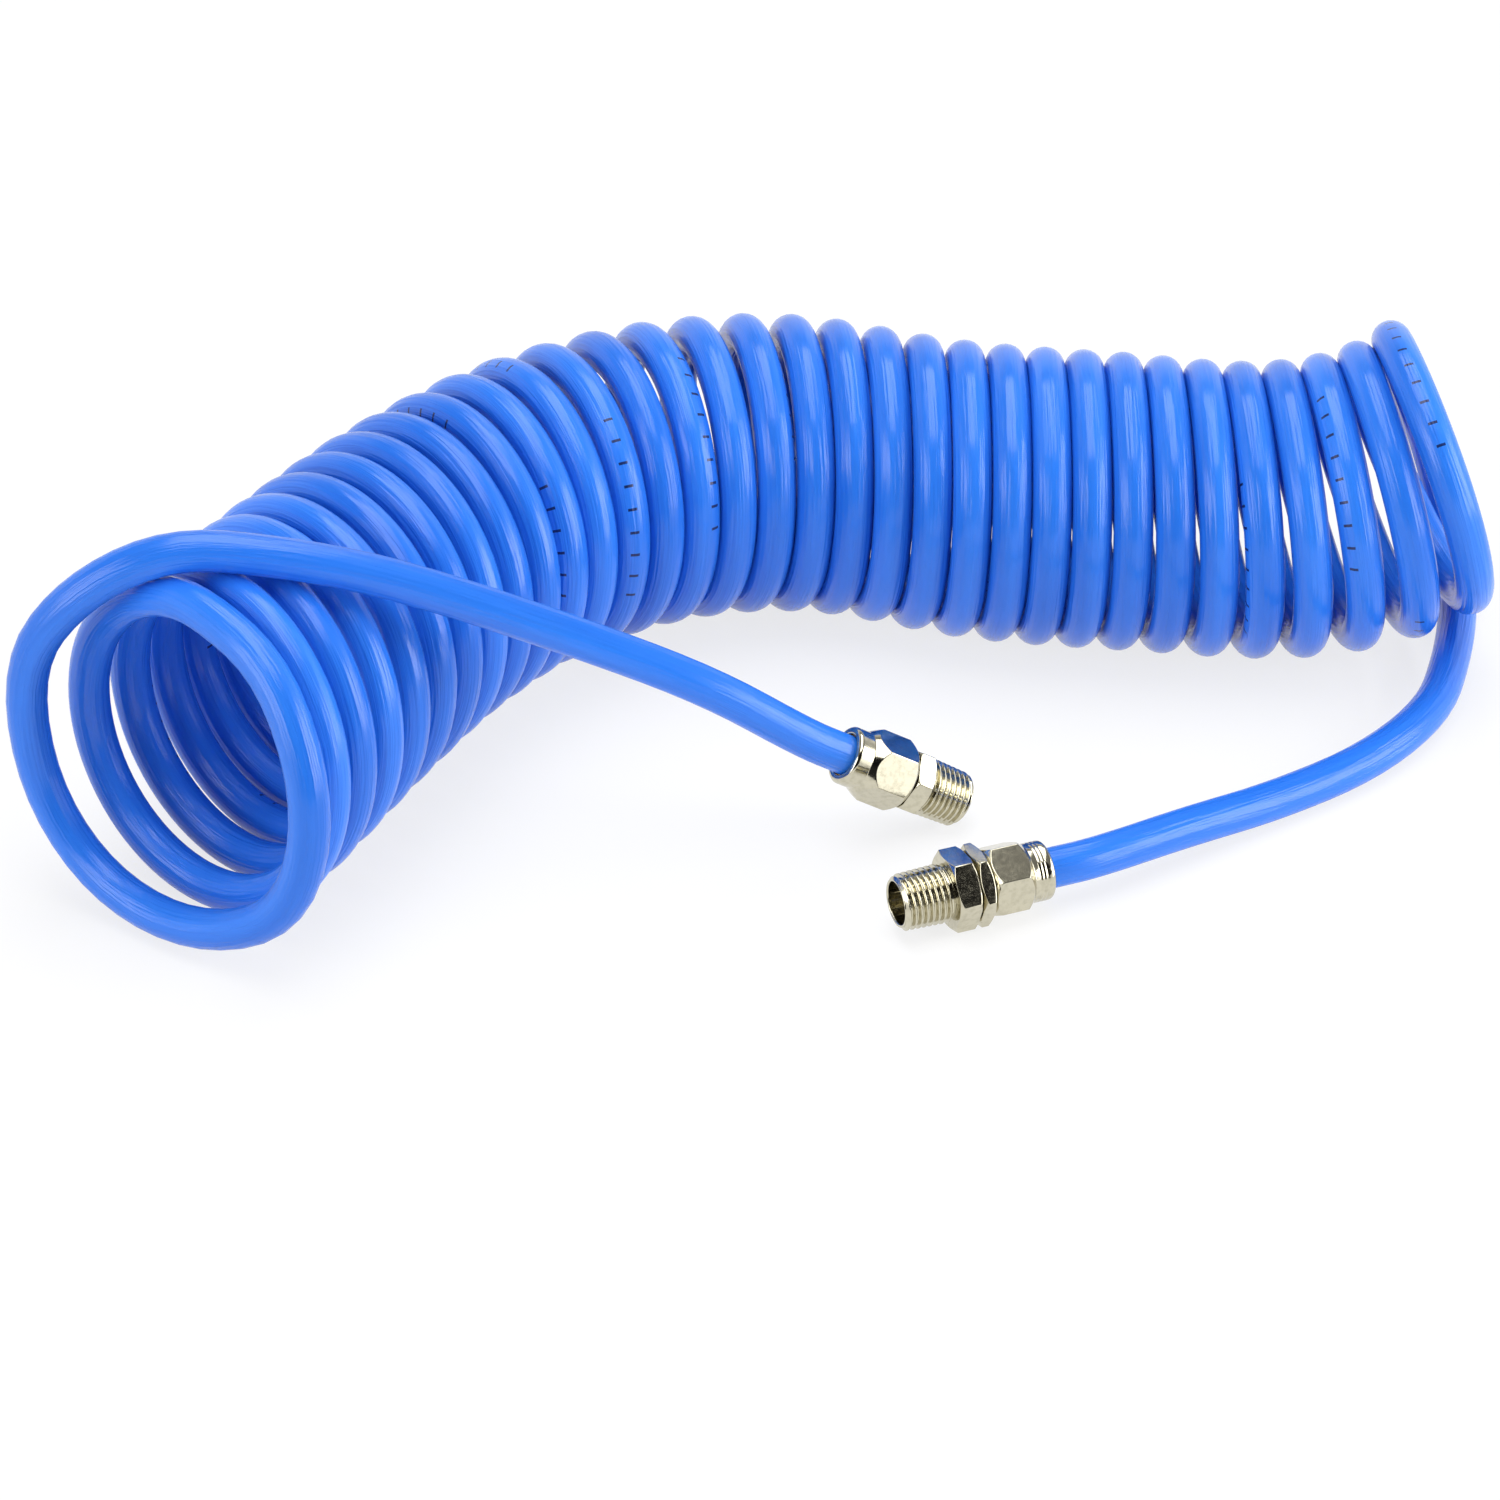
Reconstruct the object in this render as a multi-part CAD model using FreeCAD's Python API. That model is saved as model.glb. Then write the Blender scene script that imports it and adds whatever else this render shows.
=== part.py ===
"""Coiled air hose: a recoil hose of polyurethane tube with a threaded fitting on each end.

Millimetres, +Z up. The hose lies on the plane z = 0, its coil roughly along +X.
One end carries a rigid male fitting, the other a male fitting that swivels.
"""
import FreeCAD, Part
import math
import os

Vector = FreeCAD.Vector

# ---- hose -------------------------------------------------------------------------------
hose_od = 9.525             # 3/8 in tube
hose_bore = 6.35            # 1/4 in bore
coil_mean_radius = 32.6     # centre of the coil to centre of the tube

# ---- male pipe thread, 1/4 - 18 tapered -------------------------------------------------
thread_pitch = 25.4 / 18
thread_tip_radius = 6.6     # crest radius at the small end
thread_taper = 1 / 32       # radius gained per unit of length
thread_depth = 0.95
thread_tip_chamfer = 0.8
thread_crest_width = 0.25
thread_root_width = 0.2

# ---- clamp nut, ferrule and stem, the same idea on both ends -----------------------------
shank_radius = 5.75         # crest of the M11.5 fine thread that the nut runs on
shank_length = 6.5
shank_thread_pitch = 1.0
shank_thread_depth = 0.45
nut_across_flats = 15.4
nut_face_inset = 0.25       # the nut's front face is that much smaller than its flats
nut_thread_clearance = 0.08
nut_front_gap = 0.4         # nut to the wrench hex in front of it
nut_travel = 6.0            # how far the nut backs off before its thread lets go
collar_radius = 7.0         # the round rear of the nut
collar_chamfer = 0.6
lip_length = 2.0            # inward lip at the rear of the nut
lip_clearance = 0.3375      # lip to hose
ferrule_wall = 0.6
ferrule_fit = 0.08          # ferrule bore to hose
ferrule_nut_gap = 0.08
ferrule_end_gap = 0.3
stem_length = 9.0
stem_barb_height = 0.25
stem_barb_pitch = 2.4
stem_barb_count = 3
passage_radius = 2.1        # air way through stems and spigot
hose_end_gap = 0.2          # cut end of the hose to the shank's end

# ---- rigid fitting, stations along its axis from the thread's tip -----------------------
rigid_thread_length = 11.7
rigid_hex_length = 4.5
rigid_hex_across_flats = 14.0
rigid_hex_chamfer = (0.5, 0.3)      # length, and its end face's radius beyond the flats
rigid_bore_radius = 3.2
rigid_bore_depth = 13.0
rigid_nut_hex_length = 12.2
rigid_nut_rear_chamfer = 3.4
rigid_nut_collar_length = 4.2

# ---- swivel fitting ----------------------------------------------------------------------
swivel_thread_length = 12.3
swivel_hex_across_flats = 17.0
stud_hex_length = 5.4
stud_front_chamfer = (0.7, 0.1)     # length, and its end face's radius beyond the flats
stud_rear_chamfer = (0.5, 0.4)
stud_mouth_depth = 9.5
stud_land_radius = 4.15     # bearing bore behind the mouth
swivel_gap = 0.5            # stud's hex to barb body's hex
barb_hex_length = 3.4
barb_hex_chamfer = (0.9, -0.3)
spigot_clearance = 0.08
spigot_end = 7.8            # spigot's front end, from the thread's tip
spigot_chamfer = 0.3
ring_groove_depth = 0.5
ring_groove_clearance = 0.05
retaining_ring_width = 0.6
retaining_ring_height = 0.73        # how far the ring stands out of the spigot
retaining_ring_gap = 0.3
retaining_ring_opening = 2.0
ring_mouth_clearance = 0.3          # ring to the bore of the stud's mouth
o_ring_section = 1.0
o_ring_stations = (12.2, 15.2)
o_ring_fit = 0.05
o_ring_side_clearance = 0.15
washer_thickness = 0.3
washer_outer_radius = 6.8
washer_bore_clearance = 0.15
swivel_nut_hex_length = 10.0
swivel_nut_rear_chamfer = 2.0
swivel_nut_collar_length = 5.2

# ---- where the fittings lie: thread tip, and the way from the tip to the hose -----------
rigid_tip = Vector(41.2, -33.0, 6.1)
rigid_direction = Vector(-0.830, -0.197, 0.522)
rigid_body_roll = 24.5      # degrees, turns a hexagon about the fitting's axis
rigid_nut_roll = -6.0
swivel_tip = Vector(25.2, -80.0, 9.15)
swivel_direction = Vector(0.928, 0.372, 0.0)
stud_roll = -8.0
barb_body_roll = -5.5
swivel_nut_roll = 30.0
rigid_straight_margin = 5.0         # the hose stays straight past the backed-off nut
swivel_straight_margin = 7.0

# ---- the hose's route, points chosen by hand --------------------------------------------
# Heights are above the lowest place the hose can lie, so that its size can change.
# Axis of the coil, from the open left end to the lifted right end.
coil_axis_points = [
    (-132.0, -66.0, 4.0), (-121.0, -46.5, 3.0), (-104.5, -12.0, 1.5), (-86.5, 21.0, 0.5),
    (-61.5, 49.0, 0.0), (-30.0, 66.5, 0.0), (4.0, 70.0, 0.0), (44.5, 59.5, 0.0),
    (84.0, 52.5, 0.0), (121.0, 47.0, 0.5), (145.0, 46.5, 5.5), (159.5, 48.0, 13.5),
]
# From the rigid fitting up over the coil's end, round one loose turn, into the coil.
rigid_tail_points = [
    (-17.0, -46.0, 41.2), (-45.5, -46.5, 54.2), (-87.0, -51.0, 73.2), (-113.0, -54.5, 81.2),
    (-138.0, -57.0, 85.2), (-158.0, -58.5, 73.2), (-173.0, -56.0, 52.7), (-172.0, -57.5, 20.7),
    (-157.5, -69.0, 0.7), (-134.0, -86.5, 0.0), (-111.5, -98.0, 12.2), (-103.5, -100.5, 41.7),
    (-112.0, -86.0, 69.7), (-128.0, -66.5, 78.5), (-147.0, -52.0, 69.5),
]
# From the swivel fitting along the floor, under the coil's last turn and up its back.
swivel_tail_points = [
    (94.0, -46.0, 2.7), (115.0, -31.5, 0.0), (139.0, -14.5, 0.0), (156.5, 8.0, 0.0),
    (163.0, 30.5, 0.0), (167.0, 52.5, 0.2), (168.0, 74.0, 7.2), (162.0, 84.5, 27.2),
    (155.0, 79.5, 47.7),
]

coil_outer_radius = coil_mean_radius + hose_od / 2
rigid_shoulder = rigid_thread_length + rigid_hex_length
rigid_nut_length = rigid_nut_hex_length + rigid_nut_collar_length
swivel_nut_length = swivel_nut_hex_length + swivel_nut_collar_length
stud_end = swivel_thread_length + stud_hex_length
barb_hex_start = stud_end + swivel_gap
swivel_shoulder = barb_hex_start + barb_hex_length
spigot_radius = stud_land_radius - spigot_clearance
retaining_ring_radius = spigot_radius + retaining_ring_height
stud_mouth_radius = retaining_ring_radius + ring_mouth_clearance
far = 100.0                 # longer than any fitting


def points_of(rows, lowest):
    return [Vector(x, y, lowest + lift) for x, y, lift in rows]


def unit(vector):
    return vector / vector.Length


# ---- cords: straight runs joined by tangent arcs ----------------------------------------
def cord_path(name, points):
    """A wire through the points, with an arc at each corner as large as its runs allow."""
    edges = []
    radii = []
    start = points[0]
    for before, corner, after in zip(points, points[1:], points[2:]):
        run_in = corner - before
        run_out = after - corner
        turn = run_in.getAngle(run_out)
        reach = 0.45 * min(run_in.Length, run_out.Length)
        radius = reach / math.tan(turn / 2)
        arc_start = corner - unit(run_in) * reach
        arc_end = corner + unit(run_out) * reach
        bisector = unit(unit(run_out) - unit(run_in))
        centre = corner + bisector * (radius / math.cos(turn / 2))
        middle = centre - bisector * radius
        edges.append(Part.LineSegment(start, arc_start).toShape())
        edges.append(Part.Arc(arc_start, middle, arc_end).toShape())
        radii.append(radius)
        start = arc_end
    edges.append(Part.LineSegment(start, points[-1]).toShape())
    wire = Part.Wire(edges)
    print(name, "length %.1f" % wire.Length, "radii", [round(radius, 1) for radius in radii])
    return wire


def swept_rod(path, points, radius):
    ring = Part.makeCircle(radius, points[0], points[1] - points[0])
    return path.makePipeShell([Part.Wire([ring])], True, False)


def check_volume(name, solid, section, length):
    ratio = solid.Volume / (section * length)
    print(name, "volume over section times length %.4f" % ratio)


def cord_tube(name, points):
    path = cord_path(name, points)
    outside = swept_rod(path, points, hose_od / 2)
    inside = swept_rod(path, points, hose_bore / 2)
    tube = outside.cut(inside)
    section = math.pi * (hose_od ** 2 - hose_bore ** 2) / 4
    check_volume(name, tube, section, path.Length)
    return tube


def coil_solid(name, points):
    path = cord_path(name, points)
    rod = swept_rod(path, points, coil_outer_radius)
    check_volume(name, rod, math.pi * coil_outer_radius ** 2, path.Length)
    return rod


# ---- turned and hexagonal shapes about the local X axis ---------------------------------
def turned(profile):
    """Revolves a closed outline of (station, radius) points about the X axis."""
    corners = [Vector(station, 0, radius) for station, radius in profile]
    outline = Part.makePolygon(corners + corners[:1])
    return Part.Face(outline).revolve(Vector(), Vector(1, 0, 0), 360)


def drum(start, end, radius):
    return Part.makeCylinder(radius, end - start, Vector(start, 0, 0), Vector(1, 0, 0))


def sleeve(start, end, outer_radius, inner_radius):
    return drum(start, end, outer_radius).cut(drum(start, end, inner_radius))


def hexagon(start, end, across_flats, roll):
    """A hexagonal bar along X; at roll 0 it has a flat at its top and bottom."""
    corner_radius = across_flats / math.sqrt(3)
    corners = []
    for index in range(6):
        angle = math.radians(60 * index + roll)
        offset = Vector(start, corner_radius * math.cos(angle), corner_radius * math.sin(angle))
        corners.append(offset)
    outline = Part.makePolygon(corners + corners[:1])
    return Part.Face(outline).extrude(Vector(end - start, 0, 0))


def chamfered_hexagon(start, end, across_flats, roll, front, rear):
    """front and rear are each (chamfer length, end face's radius beyond the flats)."""
    corner_radius = across_flats / math.sqrt(3)
    front_length, front_radius = front[0], across_flats / 2 + front[1]
    rear_length, rear_radius = rear[0], across_flats / 2 + rear[1]
    envelope = turned([
        (start, 0), (start, front_radius), (start + front_length, corner_radius),
        (end - rear_length, corner_radius), (end, rear_radius), (end, 0),
    ])
    return hexagon(start, end, across_flats, roll).common(envelope)


def grooved_profile(start, end, pitch, depth, crest_radius):
    """Crests and roots from start to end; crest_radius gives the crest at a station."""
    rows = []
    flank = (pitch - thread_crest_width * pitch - thread_root_width * pitch) / 2
    station = start
    while station + pitch <= end + 1e-6:
        crest_end = station + thread_crest_width * pitch
        root_start = crest_end + flank
        root_end = root_start + thread_root_width * pitch
        rows.append((station, crest_radius(station)))
        rows.append((crest_end, crest_radius(crest_end)))
        rows.append((root_start, crest_radius(root_start) - depth))
        rows.append((root_end, crest_radius(root_end) - depth))
        station += pitch
    rows.append((station, crest_radius(station)))
    return rows


def pipe_thread_crest(station):
    return thread_tip_radius + thread_taper * station


def pipe_thread(length):
    """Tapered male thread from its chamfered tip at station 0 to a plain run-out."""
    tip_radius = thread_tip_radius - thread_tip_chamfer
    rows = [(0, 0), (0, tip_radius)]
    rows += grooved_profile(thread_tip_chamfer, length, thread_pitch, thread_depth, pipe_thread_crest)
    run_out = rows[-1][1] - thread_depth
    rows += [(length, run_out), (length, 0)]
    return turned(rows)


def shank_and_stem(shoulder):
    """The nut's thread and the barbed stem behind it, solid, from the hex's rear face."""
    shank_end = shoulder + shank_length
    stem_end = shank_end + stem_length
    stem_radius = hose_bore / 2

    def shank_crest(station):
        return shank_radius

    rows = [(shoulder, 0), (shoulder, shank_radius - shank_thread_depth)]
    rows += grooved_profile(shoulder + 0.5 * shank_thread_pitch, shank_end, shank_thread_pitch,
                            shank_thread_depth, shank_crest)
    rows += [(shank_end, rows[-1][1]), (shank_end, stem_radius)]
    for index in range(stem_barb_count):
        barb = shank_end + stem_barb_pitch * (index + 1)
        rows += [(barb - stem_barb_pitch / 2, stem_radius), (barb - stem_barb_pitch / 2,
                 stem_radius + stem_barb_height), (barb, stem_radius)]
    rows += [(stem_end, stem_radius - stem_barb_height), (stem_end, 0)]
    return turned(rows)


def clamp_nut(shoulder, hex_length, rear_chamfer, collar_length, roll):
    start = shoulder + nut_front_gap
    hex_end = start + hex_length
    end = hex_end + collar_length
    corner_beyond_flats = nut_across_flats / math.sqrt(3) - nut_across_flats / 2
    front = (corner_beyond_flats + nut_face_inset, -nut_face_inset)
    rear = (rear_chamfer, collar_radius - nut_across_flats / 2)
    head = chamfered_hexagon(start, hex_end, nut_across_flats, roll, front, rear)
    collar = turned([
        (hex_end, 0), (hex_end, collar_radius), (end - collar_chamfer, collar_radius),
        (end, collar_radius - collar_chamfer), (end, 0),
    ])
    shell = head.fuse(collar).removeSplitter()
    threaded_bore = drum(start, ferrule_start(shoulder), shank_radius + nut_thread_clearance)
    chamber_radius = ferrule_outer_radius() + ferrule_nut_gap
    chamber = drum(ferrule_start(shoulder), end - lip_length, chamber_radius)
    lip_bore = drum(start, end, hose_od / 2 + lip_clearance)
    return shell.cut(threaded_bore).cut(chamber).cut(lip_bore)


def backed_off(shoulder, nut_length):
    """Where the nut's rear end is when it has come off its thread."""
    return shoulder + nut_front_gap + nut_length + nut_travel


def ferrule_start(shoulder):
    return shoulder + shank_length + hose_end_gap + ferrule_end_gap


def ferrule_outer_radius():
    return hose_od / 2 + ferrule_fit + ferrule_wall


def clamp_ferrule(shoulder, nut_length):
    start = ferrule_start(shoulder) + ferrule_end_gap
    end = shoulder + nut_front_gap + nut_length - lip_length - ferrule_end_gap
    return sleeve(start, end, ferrule_outer_radius(), hose_od / 2 + ferrule_fit)


# ---- the rigid fitting -------------------------------------------------------------------
def rigid_body():
    blank = pipe_thread(rigid_thread_length)
    head = chamfered_hexagon(rigid_thread_length, rigid_shoulder, rigid_hex_across_flats,
                             rigid_body_roll, rigid_hex_chamfer, rigid_hex_chamfer)
    blank = blank.fuse(head).fuse(shank_and_stem(rigid_shoulder))
    passage = drum(0, far, passage_radius)
    entry = drum(0, rigid_bore_depth, rigid_bore_radius)
    return blank.cut(entry).cut(passage)


# ---- the swivel fitting ------------------------------------------------------------------
def swivel_stud():
    blank = pipe_thread(swivel_thread_length)
    head = chamfered_hexagon(swivel_thread_length, stud_end, swivel_hex_across_flats,
                             stud_roll, stud_front_chamfer, stud_rear_chamfer)
    mouth = drum(0, stud_mouth_depth, stud_mouth_radius)
    land = drum(0, stud_end, stud_land_radius)
    return blank.fuse(head).cut(mouth).cut(land)


def swivel_barb_body():
    groove_radius = spigot_radius - ring_groove_depth
    ring_start, ring_end = retaining_ring_span()
    seal_radius = stud_land_radius - o_ring_fit - o_ring_section - o_ring_fit
    seal_half_width = o_ring_section / 2 + o_ring_side_clearance
    rows = [(spigot_end, 0), (spigot_end, spigot_radius - spigot_chamfer),
            (spigot_end + spigot_chamfer, spigot_radius)]
    rows += groove(ring_start - ring_groove_clearance, ring_end + ring_groove_clearance,
                   groove_radius)
    for station in o_ring_stations:
        rows += groove(station - seal_half_width, station + seal_half_width, seal_radius)
    rows += [(barb_hex_start, spigot_radius), (barb_hex_start, 0)]
    spigot = turned(rows)
    head = chamfered_hexagon(barb_hex_start, swivel_shoulder, swivel_hex_across_flats,
                             barb_body_roll, barb_hex_chamfer, barb_hex_chamfer)
    blank = spigot.fuse(head).fuse(shank_and_stem(swivel_shoulder))
    return blank.cut(drum(0, far, passage_radius))


def groove(start, end, radius):
    return [(start, spigot_radius), (start, radius), (end, radius), (end, spigot_radius)]


def retaining_ring_span():
    end = stud_mouth_depth - retaining_ring_gap
    return end - retaining_ring_width, end


def retaining_ring():
    """An open snap ring in the spigot's groove, in front of the stud's land."""
    start, end = retaining_ring_span()
    inner_radius = spigot_radius - ring_groove_depth + ring_groove_clearance
    ring = sleeve(start, end, retaining_ring_radius, inner_radius)
    opening = Part.makeBox(far, retaining_ring_opening, far,
                           Vector(0, -retaining_ring_opening / 2, 0))
    return ring.cut(opening)


def o_rings():
    radius = stud_land_radius - o_ring_fit - o_ring_section / 2
    rings = []
    for station in o_ring_stations:
        rings.append(Part.makeTorus(radius, o_ring_section / 2, Vector(station, 0, 0), Vector(1, 0, 0)))
    return Part.makeCompound(rings)


def thrust_washer():
    middle = stud_end + swivel_gap / 2
    return sleeve(middle - washer_thickness / 2, middle + washer_thickness / 2,
                  washer_outer_radius, spigot_radius + washer_bore_clearance)


# ---- placing and writing ----------------------------------------------------------------
def placed(shape, tip, direction):
    """Moves a shape from its local frame: X to direction, local Z as near up as it goes."""
    along = unit(direction)
    across = unit(Vector(0, 0, 1).cross(along))
    upward = along.cross(across)
    moved = shape.copy()
    moved.Placement = FreeCAD.Placement(tip, FreeCAD.Rotation(along, across, upward, "XYZ"))
    return moved


def on_axis(tip, direction, station):
    return tip + unit(direction) * station


def write(name, shape):
    shape.exportStep("parts/" + name + ".step")
    box = shape.BoundBox
    print(name, "solids", len(shape.Solids), "volume %.0f" % shape.Volume, "valid", shape.isValid(),
          "box %.1f %.1f %.1f to %.1f %.1f %.1f" % (box.XMin, box.YMin, box.ZMin,
                                                    box.XMax, box.YMax, box.ZMax))


def main():
    os.makedirs("parts", exist_ok=True)
    hose_start = shank_length + hose_end_gap
    rigid_straight = backed_off(rigid_shoulder, rigid_nut_length) + rigid_straight_margin
    swivel_straight = backed_off(swivel_shoulder, swivel_nut_length) + swivel_straight_margin

    write("hose_coil", coil_solid("hose_coil", points_of(coil_axis_points, coil_outer_radius)))
    rigid_route = [
        on_axis(rigid_tip, rigid_direction, rigid_shoulder + hose_start),
        on_axis(rigid_tip, rigid_direction, rigid_straight),
    ] + points_of(rigid_tail_points, hose_od / 2)
    write("rigid_end_tail", cord_tube("rigid_end_tail", rigid_route))
    swivel_route = [
        on_axis(swivel_tip, swivel_direction, swivel_shoulder + hose_start),
        on_axis(swivel_tip, swivel_direction, swivel_straight),
    ] + points_of(swivel_tail_points, hose_od / 2)
    write("swivel_end_tail", cord_tube("swivel_end_tail", swivel_route))

    rigid_pieces = {
        "rigid_body": rigid_body(),
        "rigid_ferrule": clamp_ferrule(rigid_shoulder, rigid_nut_length),
        "rigid_nut": clamp_nut(rigid_shoulder, rigid_nut_hex_length, rigid_nut_rear_chamfer,
                               rigid_nut_collar_length, rigid_nut_roll),
    }
    for name, shape in rigid_pieces.items():
        write(name, placed(shape, rigid_tip, rigid_direction))

    swivel_pieces = {
        "swivel_stud": swivel_stud(),
        "swivel_barb_body": swivel_barb_body(),
        "swivel_retaining_ring": retaining_ring(),
        "swivel_o_rings": o_rings(),
        "swivel_thrust_washer": thrust_washer(),
        "swivel_ferrule": clamp_ferrule(swivel_shoulder, swivel_nut_length),
        "swivel_nut": clamp_nut(swivel_shoulder, swivel_nut_hex_length, swivel_nut_rear_chamfer,
                                swivel_nut_collar_length, swivel_nut_roll),
    }
    for name, shape in swivel_pieces.items():
        write(name, placed(shape, swivel_tip, swivel_direction))


main()
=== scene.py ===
import bpy
import bmesh
import math
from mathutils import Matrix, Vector


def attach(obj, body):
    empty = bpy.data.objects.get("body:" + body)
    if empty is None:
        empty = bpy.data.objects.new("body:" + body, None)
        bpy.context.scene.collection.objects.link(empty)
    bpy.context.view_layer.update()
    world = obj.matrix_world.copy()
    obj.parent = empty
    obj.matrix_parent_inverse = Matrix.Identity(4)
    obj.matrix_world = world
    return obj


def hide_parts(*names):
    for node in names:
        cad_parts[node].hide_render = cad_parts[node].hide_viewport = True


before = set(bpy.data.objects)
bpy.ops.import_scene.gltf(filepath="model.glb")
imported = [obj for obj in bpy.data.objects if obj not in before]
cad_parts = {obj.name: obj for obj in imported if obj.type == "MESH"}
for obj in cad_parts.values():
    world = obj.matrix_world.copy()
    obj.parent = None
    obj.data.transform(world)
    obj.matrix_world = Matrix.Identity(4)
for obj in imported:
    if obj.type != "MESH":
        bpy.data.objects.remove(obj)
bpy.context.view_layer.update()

# ---- sizes, in metres, as in the CAD ------------------------------------------------------
HOSE_OD = 0.009525
HOSE_BORE = 0.00635
RIGID_TIP = Vector((0.0412, -0.0330, 0.0061))
RIGID_WAY = Vector((-0.830, -0.197, 0.522)).normalized()
SWIVEL_TIP = Vector((0.0252, -0.0800, 0.00915))
SWIVEL_WAY = Vector((0.928, 0.372, 0.0)).normalized()
RIGID_SHOULDER = 0.0162
SWIVEL_SHOULDER = 0.0216
HOSE_START = 0.0067         # behind the shoulder
SWIVEL_STRAIGHT = (SWIVEL_SHOULDER + HOSE_START, 0.040, 0.0502)     # stations behind the tip
RIGID_STRAIGHT = (0.044, 0.034, RIGID_SHOULDER + HOSE_START)

# ---- sizes of the fittings, in millimetres, as in the CAD -----------------------------------
MM = 0.001
THREAD_PITCH = 25.4 / 18
THREAD_DEPTH = 0.95
THREAD_TIP_CREST = 6.6
THREAD_TAPER = 1 / 32
THREAD_NECK = 0.9           # plain neck behind the pipe thread
NECK_RAMP = 0.4
SHANK_CREST = 5.75
SHANK_LENGTH = 6.5
SHANK_PITCH = 1.0
SHANK_DEPTH = 0.45
SHANK_NECK = 0.4
STEM_RADIUS = 3.175
STEM_LENGTH = 9.0
STEM_PITCH = 2.4
STEM_BARBS = 3
BARB_HEIGHT = 0.25
PASSAGE_RADIUS = 2.1
NUT_FLATS = 15.4
NUT_INSET = 0.25
NUT_GAP = 0.4
NUT_BORE = 5.83
COLLAR_RADIUS = 7.0
COLLAR_CHAMFER = 0.6
COLLAR_ROUND = 0.4
LIP_BORE = 5.1
LIP_LENGTH = 2.0
CHAMBER_RADIUS = 5.5225
FERRULE_START = 0.5         # behind the shank's end
RIGID_THREAD = 11.7
RIGID_HEX = 4.5
RIGID_FLATS = 14.0
RIGID_CHAMFER = (0.5, 0.3)
RIGID_BODY_ROLL = 24.5      # degrees, of a corner round the fitting's axis
RIGID_BORE = 3.2
RIGID_BORE_DEPTH = 13.0
BORE_CONE = 1.0             # length of the cone at the bore's bottom
BORE_CHAMFER = 0.4          # of the rigid bore's mouth and the nuts' threads
RIGID_NUT_ROLL = -6.0
RIGID_NUT_HEX = 12.2
RIGID_NUT_CHAMFER = 3.4
RIGID_COLLAR = 4.2
SWIVEL_THREAD = 12.3
SWIVEL_FLATS = 17.0
STUD_HEX = 5.4
STUD_ROLL = -8.0
STUD_FRONT = (0.7, 0.1)
STUD_REAR = (0.5, 0.4)
MOUTH_RADIUS = 5.1
MOUTH_DEPTH = 9.5
MOUTH_CHAMFER = 0.2
LAND_RADIUS = 4.15
SWIVEL_GAP = 0.5
BARB_HEX = 3.4
BARB_ROLL = -5.5
BARB_CHAMFER = (0.9, -0.3)
SPIGOT_RADIUS = 4.07
SPIGOT_END = 7.8
SPIGOT_CHAMFER = 0.3
RING_MIDDLE = 8.9
RING_GROOVE = 0.7
RING_DEPTH = 0.5
SEAL_MIDDLES = (12.2, 15.2)
SEAL_GROOVE = 1.3
SEAL_DEPTH = 1.02
SWIVEL_NUT_ROLL = 30.0
SWIVEL_NUT_HEX = 10.0
SWIVEL_NUT_CHAMFER = 2.0
SWIVEL_COLLAR = 5.2
COLLAR_RINGS = (1.3, 2.2, 3.1)
RING_WIDTH = 0.36
RING_CUT = 0.1
CORNER_ROUND = 0.35         # of a hexagon's corners
EDGE_ROUND = 0.15           # of every other edge
LONGEST_REACH = 0.45        # share of a side that a rounded corner may take
MERGE = 2e-6                # metres

# ---- looks --------------------------------------------------------------------------------
HOSE_BLUE = (0.028, 0.196, 0.80, 1)
HOSE_BLUE_DEEP = (0.017, 0.150, 0.68, 1)
HOSE_ROUGHNESS = 0.2
HOSE_GLOW = 0.05            # share of light that scatters inside the tube
HOSE_SHINE = 0.42           # specular level
HOSE_DRIFT = (9.0, 0.6, 0.6)    # noise along and round the tube, for its colour
HOSE_LINES = (45.0, 6.0, 6.0)   # the same for its faint extrusion lines
HOSE_LINE_HEIGHT = 0.0003
HOSE_SMEARS = 140.0
PRINT_COLOUR = (0.008, 0.022, 0.11, 1)
PRINT_TURN = 13.5           # the turn on which the printed line faces outward
TICK_STEP = 0.005           # metres
TICK_WIDTH = 0.0006
TICK_REACH = 0.966          # cosine of a tick's half width round the tube
TICKS_EACH = 0.045          # length of each run of ticks
TICKS_EVERY = 0.140
NICKEL = (0.61, 0.575, 0.445, 1)
NICKEL_DULL = (0.47, 0.44, 0.33, 1)
NICKEL_ROUGHNESS = 0.05
MARKS_ROUGHNESS = 0.12      # what handling marks add to it
TARNISH_ROUGHNESS = 0.08    # what tarnish adds to it
TARNISH_SPOTS = 700.0
LATHE_LINES = (5200.0, 5200.0, 0.0)     # noise along and away from the fitting's axis
HANDLING_MARKS = (900.0, 900.0, 3200.0)
MARKS_HEIGHT = 0.6          # of the lathe lines' height
NICKEL_RELIEF = 0.000005
BRASS = (0.70, 0.47, 0.17, 1)
BRASS_DULL = (0.42, 0.28, 0.11, 1)
SPRING_STEEL = (0.30, 0.29, 0.28, 1)
SPRING_STEEL_DULL = (0.12, 0.10, 0.09, 1)
BARE_STAINS = 300.0
BARE_SCRATCHES = (1500.0, 1500.0, 6000.0)
BARE_RELIEF = 0.00001
SEAL_BLACK = (0.012, 0.012, 0.013, 1)
SEAL_WORN = (0.03, 0.03, 0.03, 1)
WASHER_PALE = (0.75, 0.72, 0.64, 1)
WASHER_WORN = (0.62, 0.58, 0.48, 1)
MOULDED_RELIEF = 0.00002
FLOOR_WHITE = (0.9, 0.9, 0.9, 1)
FLOOR_HALF = 6.0            # metres
FLOOR_PLAIN = 0.78          # share of plain white in the floor, for the rays that show it
WORLD_LEVEL = 0.24          # strength of the world as light on the object
DARK_WAY = (0.0, -1.0, 0.4)     # where the dark side of the studio lies, for what metal mirrors
DARK_FROM = 0.69            # how far along that way it starts to darken
DARK_TO = 0.75
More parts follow.
